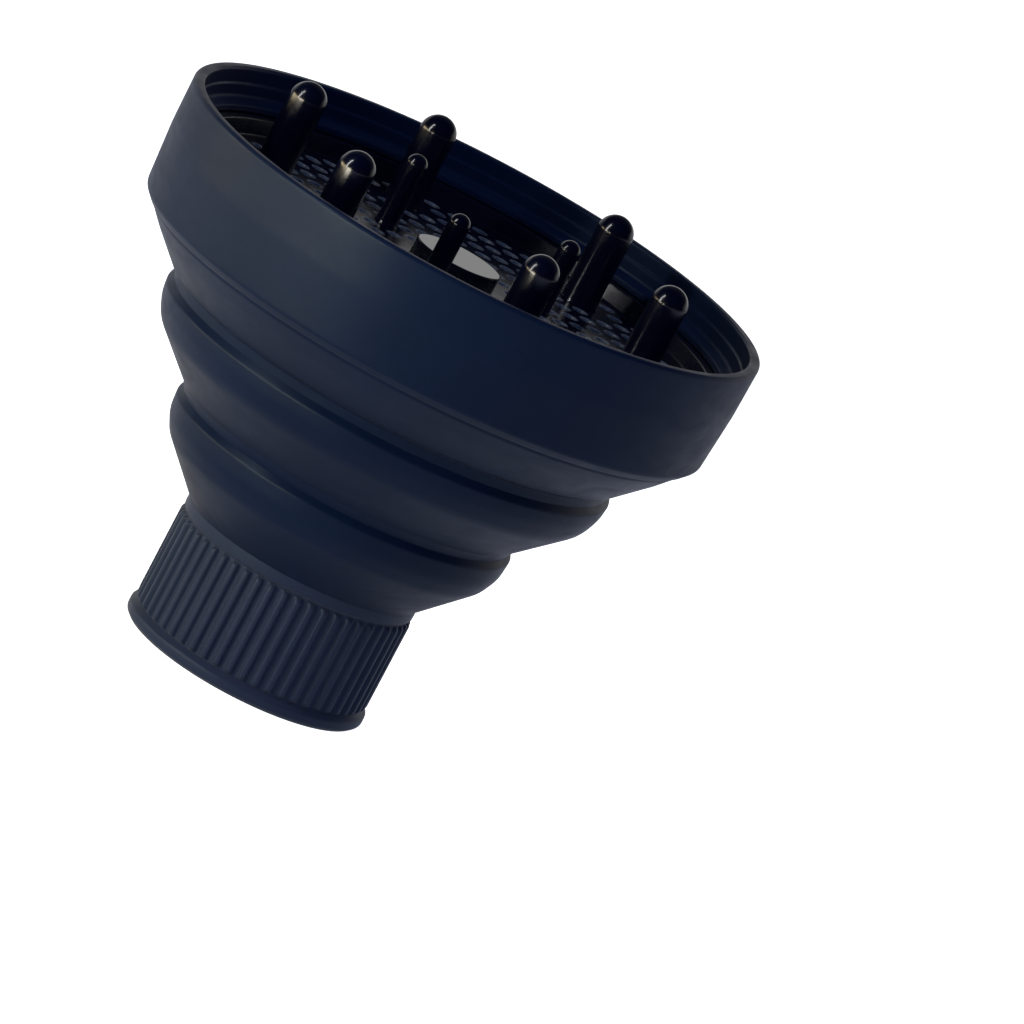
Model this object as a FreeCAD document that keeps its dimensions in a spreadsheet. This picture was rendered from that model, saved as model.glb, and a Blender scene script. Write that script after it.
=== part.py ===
import FreeCAD, Part
import math
import os

import Sketcher

# Folding diffuser for a hair dryer, in millimetres.
# The axis of revolution is Z. The origin is the centre of the nozzle socket's end face, so the
# diffuser stands on its socket with the finger bowl on top. It is drawn unfolded.
#
# The silicone body is drawn as eight lengths, from the bowl down: rim drum, bowl shoulder, upper
# web, upper fold ring, middle web, lower fold ring, lower web, neck sleeve. The drum, the shoulder,
# the rings and the sleeve are stiff, the webs between them roll over when the body folds flat.

doc = FreeCAD.newDocument("dryer_diffuser")

# ---------------------------------------------------------------- driving dimensions

DIMENSIONS = [
    # bowl
    ("rim_height", 115.0),
    ("rim_radius", 70.0),
    ("rim_flat_radius", 69.0),
    ("rim_drop", 1.0),
    ("rim_inner_radius", 67.3),
    ("drum_foot_radius", 68.7),
    ("drum_foot_height", 89.0),
    ("drum_inner_radius", 66.2),
    ("shoulder_inner_height", 88.3),
    # seat that holds the plate inside the bowl
    ("lip_radius", 64.4),
    ("lip_top", 106.9),
    ("lip_bottom", 105.4),
    ("seat_radius", 66.1),
    ("seat_bottom", 101.0),
    ("ledge_radius", 63.4),
    ("ledge_bottom", 99.6),
    ("ledge_root", 97.0),
    # folding body, outer surface
    ("drum_edge_radius", 59.1),
    ("drum_edge_height", 79.2),
    ("upper_step_radius", 56.4),
    ("upper_step_height", 76.5),
    ("upper_groove_radius", 53.9),
    ("upper_groove_height", 73.0),
    ("upper_crest_radius", 54.9),
    ("upper_crest_height", 71.0),
    ("upper_flank_radius", 53.2),
    ("upper_flank_height", 64.6),
    ("upper_edge_radius", 50.5),
    ("upper_edge_height", 61.6),
    ("lower_groove_radius", 40.7),
    ("lower_groove_height", 51.2),
    ("lower_crest_radius", 41.4),
    ("lower_crest_height", 49.2),
    ("lower_flank_radius", 40.3),
    ("lower_flank_height", 43.2),
    ("lower_edge_radius", 37.5),
    ("lower_edge_height", 39.4),
    ("lower_web_foot_radius", 28.8),
    ("neck_top_radius", 28.4),
    ("neck_top_height", 30.0),
    ("shoulder_wall", 2.2),
    ("ring_wall", 2.0),
    ("web_wall", 1.5),
    ("web_gap", 0.2),
    # neck sleeve
    ("bore_radius", 25.0),
    ("bore_chamfer", 0.6),
    ("sleeve_radius", 27.7),
    ("collar_bottom", 27.0),
    ("bead_radius", 29.3),
    ("bead_foot_radius", 28.2),
    ("bead_low", 1.2),
    ("bead_high", 2.8),
    ("bead_top", 3.9),
    ("rib_crest_radius", 28.6),
    ("rib_root_radius", 27.4),
    ("rib_width", 1.6),
    ("rib_bottom", 5.0),
    ("rib_length", 21.4),
    ("grip_groove_radius", 25.6),
    ("grip_groove_width", 1.1),
    ("grip_groove_pitch", 2.2),
    ("grip_groove_bottom", 1.6),
    ("grip_groove_length", 29.0),
    # perforated plate
    ("plate_radius", 66.0),
    ("plate_bottom", 99.2),
    ("plate_floor", 101.2),
    ("plate_flange_bottom", 101.1),
    ("plate_rim_top", 105.3),
    ("plate_rim_inner", 62.0),
    ("plate_floor_edge", 61.2),
    ("plate_pan_radius", 62.9),
    ("hub_hole_radius", 8.0),
    ("hole_radius", 1.35),
    ("hole_chamfer", 0.6),
    ("hole_pitch", 6.3),
    # hub behind the plate
    ("hub_radius", 10.5),
    ("hub_bore", 9.0),
    ("hub_bottom", 86.8),
    ("cap_radius", 10.2),
    ("cap_top", 105.3),
    ("cap_bevel", 0.4),
    ("cap_spigot_radius", 7.9),
    ("cap_spigot_bottom", 97.4),
    ("grille_bottom", 85.0),
    ("grille_spigot_radius", 8.9),
    ("grille_spigot_bore", 7.6),
    ("grille_spigot_top", 89.0),
    ("grille_hub_radius", 2.6),
    ("grille_hole_radius", 1.5),
    ("grille_window_radius", 6.2),
    ("grille_spoke_width", 1.5),
    # fingers
    ("outer_finger_circle", 46.0),
    ("outer_finger_radius", 4.3),
    ("outer_finger_length", 22.1),
    ("outer_spigot_radius", 3.0),
    ("outer_finger_bore", 1.9),
    ("inner_finger_circle", 22.6),
    ("inner_finger_radius", 2.5),
    ("inner_finger_length", 17.4),
    ("inner_spigot_radius", 1.6),
    ("inner_finger_bore", 0.8),
    ("finger_foot", 0.4),
    ("finger_tip_wall", 1.5),
    ("spigot_length", 1.9),
    ("spigot_play", 0.05),
    # how far a cutting tool stands clear of what it cuts
    ("cut_margin", 1.0),
]

RIB_COUNT = 54
GRIP_GROUPS = 6
GRIP_GROOVES_PER_GROUP = 3
OUTER_FINGERS = 6
INNER_FINGERS = 3
SECTORS = 6
INNER_FINGER_START = 30.0
HOLE_CLEARANCE = 1.0
SAME = 1e-3

sheet = doc.addObject("Spreadsheet::Sheet", "Params")
for row, (alias, size) in enumerate(DIMENSIONS, start=1):
    sheet.set("A%d" % row, alias)
    sheet.set("B%d" % row, str(size))
    sheet.setAlias("B%d" % row, alias)
doc.recompute()


def amount(text):
    """Value of a sum such as 'rim_radius - ring_wall', from the sheet's cells."""
    total = 0.0
    sign = 1.0
    for word in text.split():
        if word == "+":
            sign = 1.0
        elif word == "-":
            sign = -1.0
        elif word[0].isalpha():
            total += sign * float(sheet.get(word))
        else:
            total += sign * float(word)
    return total


def formula(text):
    """The same sum as an expression on the sheet."""
    words = ["Params." + word if word[0].isalpha() else word for word in text.split()]
    return " ".join(words)


# ---------------------------------------------------------------- sketch helpers

def origin_plane(body, role):
    return next(item for item in body.Origin.OriginFeatures if item.Role == role)


def new_body(name):
    body = doc.addObject("PartDesign::Body", name)
    body.Label = name
    return body


def new_sketch(body, name, role, height=None):
    """Empty sketch on an origin plane, raised along the plane's normal if a height is given."""
    sketch = body.newObject("Sketcher::SketchObject", name)
    sketch.AttachmentSupport = [(origin_plane(body, role), "")]
    sketch.MapMode = "FlatFace"
    if height is not None:
        base = FreeCAD.Vector(0, 0, amount(height))
        sketch.AttachmentOffset = FreeCAD.Placement(base, FreeCAD.Rotation())
        sketch.setExpression("AttachmentOffset.Base.z", formula(height))
    return sketch


def bind(sketch, constraint, text):
    index = sketch.addConstraint(constraint)
    sketch.setExpression("Constraints[%d]" % index, formula(text))


def fix_point(sketch, element, point, x_text, y_text):
    """Ties a sketch point to sheet values; a plain '0' puts it on the axis."""
    if x_text == "0":
        sketch.addConstraint(Sketcher.Constraint("PointOnObject", element, point, -2))
    else:
        bind(sketch, Sketcher.Constraint("DistanceX", -1, 1, element, point, amount(x_text)), x_text)
    if y_text == "0":
        sketch.addConstraint(Sketcher.Constraint("PointOnObject", element, point, -1))
    else:
        bind(sketch, Sketcher.Constraint("DistanceY", -1, 1, element, point, amount(y_text)), y_text)


def closed_outline(sketch, corners, arcs=None):
    """Closed outline through corners given as pairs of sheet sums.

    Edges are straight unless arcs names them: arcs maps an edge's index to its radius, its centre's
    height (both sheet sums, the centre being on the axis) and the sketch point it starts from, 1
    where the outline follows the arc anticlockwise and 2 where it runs against it.
    """
    arcs = arcs or {}
    points = [FreeCAD.Vector(amount(x), amount(y), 0) for x, y in corners]
    count = len(points)
    starts = []
    for i in range(count):
        following = points[(i + 1) % count]
        if i in arcs:
            radius, centre_height, start = arcs[i]
            spread = amount(radius) * math.sqrt(0.5)
            middle = FreeCAD.Vector(spread, amount(centre_height) + spread, 0)
            sketch.addGeometry(Part.Arc(points[i], middle, following), False)
        else:
            start = 1
            sketch.addGeometry(Part.LineSegment(points[i], following), False)
        starts.append(start)
    for i in range(count):
        after = (i + 1) % count
        sketch.addConstraint(Sketcher.Constraint("Coincident", i, 3 - starts[i], after, starts[after]))
    for i, (x_text, y_text) in enumerate(corners):
        fix_point(sketch, i, starts[i], x_text, y_text)
    for i, (radius, centre_height, start) in arcs.items():
        bind(sketch, Sketcher.Constraint("Radius", i, amount(radius)), radius)


def revolve(body, corners, arcs=None):
    """Full turn of an outline drawn as (radius, height) corners."""
    sketch = new_sketch(body, body.Name + "_outline", "XZ_Plane")
    closed_outline(sketch, corners, arcs)
    turned = body.newObject("PartDesign::Revolution", body.Name + "_turned")
    turned.Profile = sketch
    turned.ReferenceAxis = (sketch, ["V_Axis"])
    turned.Angle = 360.0
    doc.recompute()
    return turned


def circle(sketch, x_text, y_text, radius_text):
    centre = FreeCAD.Vector(amount(x_text), amount(y_text), 0)
    element = sketch.addGeometry(Part.Circle(centre, FreeCAD.Vector(0, 0, 1), amount(radius_text)), False)
    fix_point(sketch, element, 3, x_text, y_text)
    bind(sketch, Sketcher.Constraint("Radius", element, amount(radius_text)), radius_text)


def rectangle(sketch, corners, near_text, far_text, width_text):
    """Rectangle across the X axis between two radii, its width and radii bound to the sheet."""
    first = sketch.GeometryCount
    points = [FreeCAD.Vector(x, y, 0) for x, y in corners]
    for i in range(4):
        sketch.addGeometry(Part.LineSegment(points[i], points[(i + 1) % 4]), False)
    for i in range(4):
        sketch.addConstraint(Sketcher.Constraint("Coincident", first + i, 2, first + (i + 1) % 4, 1))
    sketch.addConstraint(Sketcher.Constraint("Horizontal", first))
    sketch.addConstraint(Sketcher.Constraint("Vertical", first + 1))
    sketch.addConstraint(Sketcher.Constraint("Horizontal", first + 2))
    sketch.addConstraint(Sketcher.Constraint("Vertical", first + 3))
    bind(sketch, Sketcher.Constraint("DistanceX", -1, 1, first, 1, amount(near_text)), near_text)
    bind(sketch, Sketcher.Constraint("DistanceX", -1, 1, first, 2, amount(far_text)), far_text)
    bind(sketch, Sketcher.Constraint("DistanceY", first + 1, 1, first + 1, 2, amount(width_text)), width_text)
    sketch.addConstraint(Sketcher.Constraint("DistanceY", -1, 1, first, 1, corners[0][1]))


def lattice_circle(sketch, x_steps, y_steps):
    """Plate hole at whole and half steps of the hole pitch."""
    pitch = amount("hole_pitch")
    centre = FreeCAD.Vector(x_steps * pitch, y_steps * pitch, 0)
    round_hole = Part.Circle(centre, FreeCAD.Vector(0, 0, 1), amount("hole_radius"))
    element = sketch.addGeometry(round_hole, False)
    sideways = sketch.addConstraint(Sketcher.Constraint("DistanceX", -1, 1, element, 3, centre.x))
    sketch.setExpression("Constraints[%d]" % sideways, "Params.hole_pitch * %.6f" % x_steps)
    if y_steps > 0:
        along = sketch.addConstraint(Sketcher.Constraint("DistanceY", -1, 1, element, 3, centre.y))
        sketch.setExpression("Constraints[%d]" % along, "Params.hole_pitch * %.6f" % y_steps)
    else:
        sketch.addConstraint(Sketcher.Constraint("PointOnObject", element, 3, -1))
    bind(sketch, Sketcher.Constraint("Radius", element, amount("hole_radius")), "hole_radius")


def pad(body, sketch, length):
    solid = body.newObject("PartDesign::Pad", sketch.Name + "_pad")
    solid.Profile = sketch
    solid.Length = amount(length)
    solid.setExpression("Length", formula(length))
    doc.recompute()
    return solid


def pocket(body, sketch, length):
    """Cut upwards from the sketch; the volume has to drop."""
    before = body.Shape.Volume
    cut = body.newObject("PartDesign::Pocket", sketch.Name + "_cut")
    cut.Profile = sketch
    cut.Reversed = True
    cut.Length = amount(length)
    cut.setExpression("Length", formula(length))
    doc.recompute()
    if cut.Shape.Volume >= before:
        raise ValueError(sketch.Name + " cuts nothing")
    return cut


def polar_pattern(body, feature, count):
    """Repeat one feature around Z; the pattern becomes the body's tip."""
    pattern = body.newObject("PartDesign::PolarPattern", feature.Name + "_round")
    pattern.Originals = [feature]
    pattern.Axis = (feature.Profile[0], ["N_Axis"])
    pattern.Angle = 360.0
    pattern.Occurrences = count
    body.Tip = pattern
    doc.recompute()
    return pattern


# ---------------------------------------------------------------- silicone body

def make_rim_drum():
    """Bowl wall with its lip and ledge around the plate."""
    body = new_body("rim_drum")
    revolve(body, [
        ("rim_radius", "rim_height - rim_drop"),
        ("rim_flat_radius", "rim_height"),
        ("rim_inner_radius + rim_drop", "rim_height"),
        ("rim_inner_radius", "rim_height - rim_drop"),
        ("rim_inner_radius", "lip_top + rim_drop"),
        ("lip_radius", "lip_top"),
        ("lip_radius", "lip_bottom"),
        ("seat_radius", "lip_bottom"),
        ("seat_radius", "seat_bottom"),
        ("ledge_radius", "seat_bottom"),
        ("ledge_radius", "ledge_bottom"),
        ("drum_inner_radius", "ledge_root"),
        ("drum_inner_radius", "drum_foot_height"),
        ("drum_foot_radius", "drum_foot_height"),
    ])
    return body


def make_bowl_shoulder():
    """Stiff cone under the drum, down to the edge where the upper web starts."""
    body = new_body("bowl_shoulder")
    revolve(body, [
        ("drum_foot_radius", "drum_foot_height"),
        ("drum_inner_radius", "drum_foot_height"),
        ("drum_inner_radius", "shoulder_inner_height"),
        ("drum_edge_radius - shoulder_wall", "drum_edge_height"),
        ("drum_edge_radius", "drum_edge_height"),
    ])
    return body


def make_upper_web():
    body = new_body("upper_web")
    revolve(body, [
        ("drum_edge_radius", "drum_edge_height"),
        ("upper_step_radius", "upper_step_height"),
        ("upper_groove_radius", "upper_groove_height + web_gap"),
        ("upper_groove_radius - web_wall", "upper_groove_height + web_gap"),
        ("upper_step_radius - web_wall", "upper_step_height"),
        ("drum_edge_radius - web_wall", "drum_edge_height"),
    ])
    return body


def make_fold_ring(name, prefix, wall):
    """Stiff crest of a fold: groove, crest, flank and the edge where the next web starts."""
    body = new_body(name)
    stations = [prefix + "_groove", prefix + "_crest", prefix + "_flank", prefix + "_edge"]
    outside = [(station + "_radius", station + "_height") for station in stations]
    inside = [(radius + " - " + wall, height) for radius, height in reversed(outside)]
    revolve(body, outside + inside)
    return body


def make_web(name, top, bottom_radius, bottom_height):
    """Thin cone between a ring's edge and the next stiff length below it."""
    body = new_body(name)
    revolve(body, [
        (top + "_radius", top + "_height"),
        (bottom_radius, bottom_height + " + web_gap"),
        (bottom_radius + " - web_wall", bottom_height + " + web_gap"),
        (top + "_radius - web_wall", top + "_height"),
    ])
    return body


def make_neck_sleeve():
    """Ribbed socket that stretches over the dryer's nozzle."""
    body = new_body("neck_sleeve")
    revolve(body, [
        ("bore_radius + bore_chamfer", "0"),
        ("bead_foot_radius", "0"),
        ("bead_radius", "bead_low"),
        ("bead_radius", "bead_high"),
        ("sleeve_radius", "bead_top"),
        ("sleeve_radius", "collar_bottom"),
        ("neck_top_radius", "collar_bottom"),
        ("neck_top_radius", "neck_top_height"),
        ("bore_radius", "neck_top_height"),
        ("bore_radius", "bore_chamfer"),
    ])

    rib = new_sketch(body, "grip_rib", "XY_Plane", "rib_bottom")
    half_rib = amount("rib_width") / 2
    rib_corners = [
        (amount("rib_root_radius"), -half_rib),
        (amount("rib_crest_radius"), -half_rib),
        (amount("rib_crest_radius"), half_rib),
        (amount("rib_root_radius"), half_rib),
    ]
    rectangle(rib, rib_corners, "rib_root_radius", "rib_crest_radius", "rib_width")
    polar_pattern(body, pad(body, rib, "rib_length"), RIB_COUNT)

    grooves = new_sketch(body, "grip_grooves", "XY_Plane", "grip_groove_bottom")
    half_groove = amount("grip_groove_width") / 2
    inner_face = amount("bore_radius - cut_margin")
    outer_face = amount("grip_groove_radius")
    for i in range(GRIP_GROOVES_PER_GROUP):
        middle = (i - (GRIP_GROOVES_PER_GROUP - 1) / 2) * amount("grip_groove_pitch")
        corners = [
            (inner_face, middle - half_groove),
            (outer_face, middle - half_groove),
            (outer_face, middle + half_groove),
            (inner_face, middle + half_groove),
        ]
        rectangle(grooves, corners, "bore_radius - cut_margin", "grip_groove_radius", "grip_groove_width")
    polar_pattern(body, pocket(body, grooves, "grip_groove_length"), GRIP_GROUPS)
    return body


# ---------------------------------------------------------------- plate, hub and fingers

def plate_holes():
    """Lattice places in one sector, as steps of the pitch, clear of hub, fingers and rim."""
    pitch = amount("hole_pitch")
    hole = amount("hole_radius") + HOLE_CLEARANCE
    half_turn_step = math.sqrt(3) / 2
    keep_out = []
    for angle in (0.0, 60.0):
        keep_out.append((amount("outer_finger_circle"), angle, amount("outer_finger_radius")))
    keep_out.append((amount("inner_finger_circle"), INNER_FINGER_START, amount("inner_finger_radius")))
    places = []
    steps = int(amount("plate_floor_edge") / pitch) + 2
    for i in range(1, steps):
        for j in range(steps):
            x_steps = i + j / 2
            y_steps = j * half_turn_step
            reach = math.hypot(x_steps, y_steps) * pitch
            if reach < amount("hub_radius") + hole or reach > amount("plate_floor_edge") - hole:
                continue
            clear = True
            for circle_radius, angle, radius in keep_out:
                x = circle_radius * math.cos(math.radians(angle))
                y = circle_radius * math.sin(math.radians(angle))
                if math.hypot(x_steps * pitch - x, y_steps * pitch - y) < radius + hole:
                    clear = False
            if clear:
                places.append((x_steps, y_steps))
    return places


def make_plate():
    """Perforated tray that carries the fingers."""
    body = new_body("diffuser_plate")
    revolve(body, [
        ("hub_hole_radius", "plate_bottom"),
        ("plate_pan_radius", "plate_bottom"),
        ("plate_pan_radius", "plate_flange_bottom"),
        ("plate_radius", "plate_flange_bottom"),
        ("plate_radius", "plate_rim_top"),
        ("plate_rim_inner", "plate_rim_top"),
        ("plate_floor_edge", "plate_floor"),
        ("hub_hole_radius", "plate_floor"),
    ])

    lattice = new_sketch(body, "air_holes", "XY_Plane", "plate_bottom - cut_margin")
    for x_steps, y_steps in plate_holes():
        lattice_circle(lattice, x_steps, y_steps)
    circle(lattice, "outer_finger_circle", "0", "outer_spigot_radius + spigot_play")
    through = "plate_floor - plate_bottom + cut_margin + cut_margin"
    pattern = polar_pattern(body, pocket(body, lattice, through), SECTORS)

    mouths = []
    for number, edge in enumerate(pattern.Shape.Edges, start=1):
        on_floor = abs(edge.BoundBox.ZMin - amount("plate_floor")) < SAME and edge.BoundBox.ZLength < SAME
        is_hole = abs(edge.BoundBox.XLength - 2 * amount("hole_radius")) < SAME
        if on_floor and is_hole:
            mouths.append("Edge%d" % number)
    chamfer = body.newObject("PartDesign::Chamfer", "hole_mouths")
    chamfer.Base = (pattern, mouths)
    chamfer.Size = amount("hole_chamfer")
    chamfer.setExpression("Size", formula("hole_chamfer"))
    doc.recompute()

    inner = new_sketch(body, "inner_sockets", "XY_Plane", "plate_bottom - cut_margin")
    angle = math.radians(INNER_FINGER_START)
    reach = amount("inner_finger_circle")
    centre = FreeCAD.Vector(reach * math.cos(angle), reach * math.sin(angle), 0)
    size = amount("inner_spigot_radius + spigot_play")
    inner.addGeometry(Part.Circle(centre, FreeCAD.Vector(0, 0, 1), size), False)
    bind(inner, Sketcher.Constraint("Distance", -1, 1, 0, 3, reach), "inner_finger_circle")
    inner.addConstraint(Sketcher.Constraint("DistanceY", -1, 1, 0, 3, centre.y))
    inner.setExpression("Constraints[1]", "Params.inner_finger_circle * sin(%g deg)" % INNER_FINGER_START)
    bind(inner, Sketcher.Constraint("Radius", 0, size), "inner_spigot_radius + spigot_play")
    polar_pattern(body, pocket(body, inner, through), INNER_FINGERS)
    return body


def make_hub_cap():
    """Polished disc in the middle of the plate, with a spigot into the hub tube."""
    body = new_body("hub_cap")
    revolve(body, [
        ("0", "cap_spigot_bottom"),
        ("cap_spigot_radius", "cap_spigot_bottom"),
        ("cap_spigot_radius", "plate_floor"),
        ("cap_radius", "plate_floor"),
        ("cap_radius", "cap_top - cap_bevel"),
        ("cap_radius - cap_bevel", "cap_top"),
        ("0", "cap_top"),
    ])
    return body


def make_hub_tube():
    body = new_body("hub_tube")
    revolve(body, [
        ("hub_bore", "hub_bottom"),
        ("hub_radius", "hub_bottom"),
        ("hub_radius", "plate_bottom"),
        ("hub_bore", "plate_bottom"),
    ])
    return body


def make_hub_grille():
    """Spoked end of the hub tube: six windows around a centre hole."""
    body = new_body("hub_grille")
    revolve(body, [
        ("grille_hole_radius", "grille_bottom"),
        ("hub_radius", "grille_bottom"),
        ("hub_radius", "hub_bottom"),
        ("grille_spigot_radius", "hub_bottom"),
        ("grille_spigot_radius", "grille_spigot_top"),
        ("grille_spigot_bore", "grille_spigot_top"),
        ("grille_spigot_bore", "hub_bottom"),
        ("grille_hole_radius", "hub_bottom"),
    ])
    window = new_sketch(body, "grille_window", "XY_Plane", "grille_bottom - cut_margin")
    half_spoke = amount("grille_spoke_width") / 2
    half_sector = 180.0 / SECTORS
    corners = []
    for radius, side in (("grille_hub_radius", 1), ("grille_window_radius", 1),
                         ("grille_window_radius", -1), ("grille_hub_radius", -1)):
        reach = amount(radius)
        edge = math.radians(half_sector) - math.asin(half_spoke / reach)
        corners.append(FreeCAD.Vector(reach * math.cos(edge), side * reach * math.sin(edge), 0))
    hub_middle = FreeCAD.Vector(amount("grille_hub_radius"), 0, 0)
    rim_middle = FreeCAD.Vector(amount("grille_window_radius"), 0, 0)
    window.addGeometry(Part.LineSegment(corners[0], corners[1]), False)
    window.addGeometry(Part.Arc(corners[1], rim_middle, corners[2]), False)
    window.addGeometry(Part.LineSegment(corners[2], corners[3]), False)
    window.addGeometry(Part.Arc(corners[3], hub_middle, corners[0]), False)
    for point, radius in ((1, "grille_hub_radius"), (2, "grille_window_radius")):
        corner = corners[point - 1]
        edge = "%g deg - asin(Params.grille_spoke_width / 2 / Params.%s)" % (half_sector, radius)
        for kind, size, ratio in (("DistanceX", corner.x, "cos"), ("DistanceY", corner.y, "sin")):
            index = window.addConstraint(Sketcher.Constraint(kind, -1, 1, 0, point, size))
            window.setExpression("Constraints[%d]" % index, "Params.%s * %s(%s)" % (radius, ratio, edge))
    for joined in ((0, 2, 1, 2), (1, 1, 2, 1), (2, 2, 3, 1), (3, 2, 0, 1)):
        window.addConstraint(Sketcher.Constraint("Coincident", *joined))
    window.addConstraint(Sketcher.Constraint("Symmetric", 0, 1, 2, 2, -1))
    window.addConstraint(Sketcher.Constraint("Symmetric", 0, 2, 2, 1, -1))
    for arc, radius in ((1, "grille_window_radius"), (3, "grille_hub_radius")):
        bind(window, Sketcher.Constraint("Radius", arc, amount(radius)), radius)
    cut = pocket(body, window, "hub_bottom - grille_bottom + cut_margin + cut_margin")
    polar_pattern(body, cut, SECTORS)
    return body


def make_finger(name, kind, angle):
    """Round-tipped hollow finger with a spigot that plugs into the plate."""
    body = new_body(name)
    radius = kind + "_finger_radius"
    bore = kind + "_finger_bore"
    spigot = kind + "_spigot_radius"
    length = kind + "_finger_length"
    tip_centre = length + " - " + radius
    bore_centre = length + " - finger_tip_wall - " + bore
    corners = [
        (bore, "0 - spigot_length"),
        (spigot, "0 - spigot_length"),
        (spigot, "0"),
        (radius + " + finger_foot", "0"),
        (radius, "finger_foot + finger_foot"),
        (radius, tip_centre),
        ("0", length),
        ("0", length + " - finger_tip_wall"),
        (bore, bore_centre),
    ]
    arcs = {5: (radius, tip_centre, 1), 7: (bore, bore_centre, 2)}
    revolve(body, corners, arcs)
    reach = amount(kind + "_finger_circle")
    turn = math.radians(angle)
    place = FreeCAD.Vector(reach * math.cos(turn), reach * math.sin(turn), amount("plate_floor"))
    body.Placement = FreeCAD.Placement(place, FreeCAD.Rotation(FreeCAD.Vector(0, 0, 1), angle))
    body.setExpression("Placement.Base.x", "Params.%s_finger_circle * cos(%g deg)" % (kind, angle))
    body.setExpression("Placement.Base.y", "Params.%s_finger_circle * sin(%g deg)" % (kind, angle))
    body.setExpression("Placement.Base.z", "Params.plate_floor")
    doc.recompute()
    return body


# ---------------------------------------------------------------- assembly

nodes = [
    make_rim_drum(),
    make_bowl_shoulder(),
    make_upper_web(),
    make_fold_ring("upper_fold_ring", "upper", "shoulder_wall"),
    make_web("middle_web", "upper_edge", "lower_groove_radius", "lower_groove_height"),
    make_fold_ring("lower_fold_ring", "lower", "ring_wall"),
    make_web("lower_web", "lower_edge", "lower_web_foot_radius", "neck_top_height"),
    make_neck_sleeve(),
    make_plate(),
    make_hub_cap(),
    make_hub_tube(),
    make_hub_grille(),
]
for i in range(OUTER_FINGERS):
    nodes.append(make_finger("outer_finger_%d" % (i + 1), "outer", i * 360.0 / OUTER_FINGERS))
for i in range(INNER_FINGERS):
    angle = INNER_FINGER_START + i * 360.0 / INNER_FINGERS
    nodes.append(make_finger("inner_finger_%d" % (i + 1), "inner", angle))

doc.recompute()
for item in doc.Objects:
    if "Invalid" in item.State or "Error" in item.State:
        raise ValueError(item.Name + " did not build: " + str(item.State))
for node in nodes:
    if node.Shape.isNull() or not node.Shape.isValid() or len(node.Shape.Solids) != 1:
        raise ValueError(node.Label + " is not one valid solid")

os.makedirs("parts", exist_ok=True)
for node in nodes:
    node.Shape.exportStep("parts/%s.step" % node.Label)
    print("%-18s %10.1f mm3" % (node.Label, node.Shape.Volume))
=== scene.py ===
import math

import bmesh
import bpy
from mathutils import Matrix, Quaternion, Vector
from mathutils.geometry import delaunay_2d_cdt


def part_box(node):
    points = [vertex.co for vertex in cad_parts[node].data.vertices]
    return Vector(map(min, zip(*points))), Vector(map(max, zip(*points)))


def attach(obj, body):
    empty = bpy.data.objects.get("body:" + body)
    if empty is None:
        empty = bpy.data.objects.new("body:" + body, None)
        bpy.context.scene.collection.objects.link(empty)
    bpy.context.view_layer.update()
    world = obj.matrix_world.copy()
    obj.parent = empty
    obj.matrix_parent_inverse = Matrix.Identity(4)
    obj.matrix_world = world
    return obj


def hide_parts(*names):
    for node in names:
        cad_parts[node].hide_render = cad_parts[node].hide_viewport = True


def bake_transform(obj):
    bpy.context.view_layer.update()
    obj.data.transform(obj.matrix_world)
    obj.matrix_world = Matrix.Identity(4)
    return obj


# A folding silicone hair dryer diffuser. The frame is in metres with Z as the axis of revolution:
# the nozzle socket ends at z = 0 and the bowl opens upwards. Outlines below are written in
# millimetres and turned into metres by outline().

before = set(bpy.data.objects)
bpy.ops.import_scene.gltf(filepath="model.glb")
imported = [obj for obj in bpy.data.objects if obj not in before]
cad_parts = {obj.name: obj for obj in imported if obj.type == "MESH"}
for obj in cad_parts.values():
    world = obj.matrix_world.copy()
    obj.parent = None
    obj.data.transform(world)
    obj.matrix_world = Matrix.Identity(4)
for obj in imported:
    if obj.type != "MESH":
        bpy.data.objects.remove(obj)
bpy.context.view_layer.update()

MM = 0.001
FULL_TURN = 2 * math.pi


# ---------------------------------------------------------------- sizes read from the frame

def node_sizes(node):
    """Outer radius, lowest and highest point of a node that stands on the axis, in millimetres."""
    low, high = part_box(node)
    return high.x / MM, low.z / MM, high.z / MM


RIM_R, DRUM_FOOT, RIM_TOP = node_sizes("rim_drum")
DRUM_FOOT_R, SHOULDER_FOOT, _ = node_sizes("bowl_shoulder")
UPPER_CREST_R, UPPER_EDGE, UPPER_TOP = node_sizes("upper_fold_ring")
LOWER_CREST_R, LOWER_EDGE, LOWER_TOP = node_sizes("lower_fold_ring")
BEAD_R, _, NECK_TOP = node_sizes("neck_sleeve")
PLATE_R, PLATE_BOTTOM, PLATE_TOP = node_sizes("diffuser_plate")
CAP_R, CAP_SPIGOT_END, CAP_TOP = node_sizes("hub_cap")
HUB_R, _, _ = node_sizes("hub_tube")
FINGER_NODES = [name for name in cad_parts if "finger" in name]
# upper face of the plate inside its turned-up edge, where the fingers and the cap stand
PLATE_FLOOR = 101.2


# ---------------------------------------------------------------- mesh helpers

# A fillet takes at most this share of each of its two sides. Its arc is drawn in steps of about
# this many millimetres or degrees, whichever gives fewer steps, and never fewer or more than these.
FILLET_SHARE = 0.48
FILLET_STEP_MM = 0.16
FILLET_STEP_DEGREES = 9
FILLET_STEPS = (2, 16)
MERGE_DISTANCE = 1e-7
DEGENERATE_LENGTH = 1e-8


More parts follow.
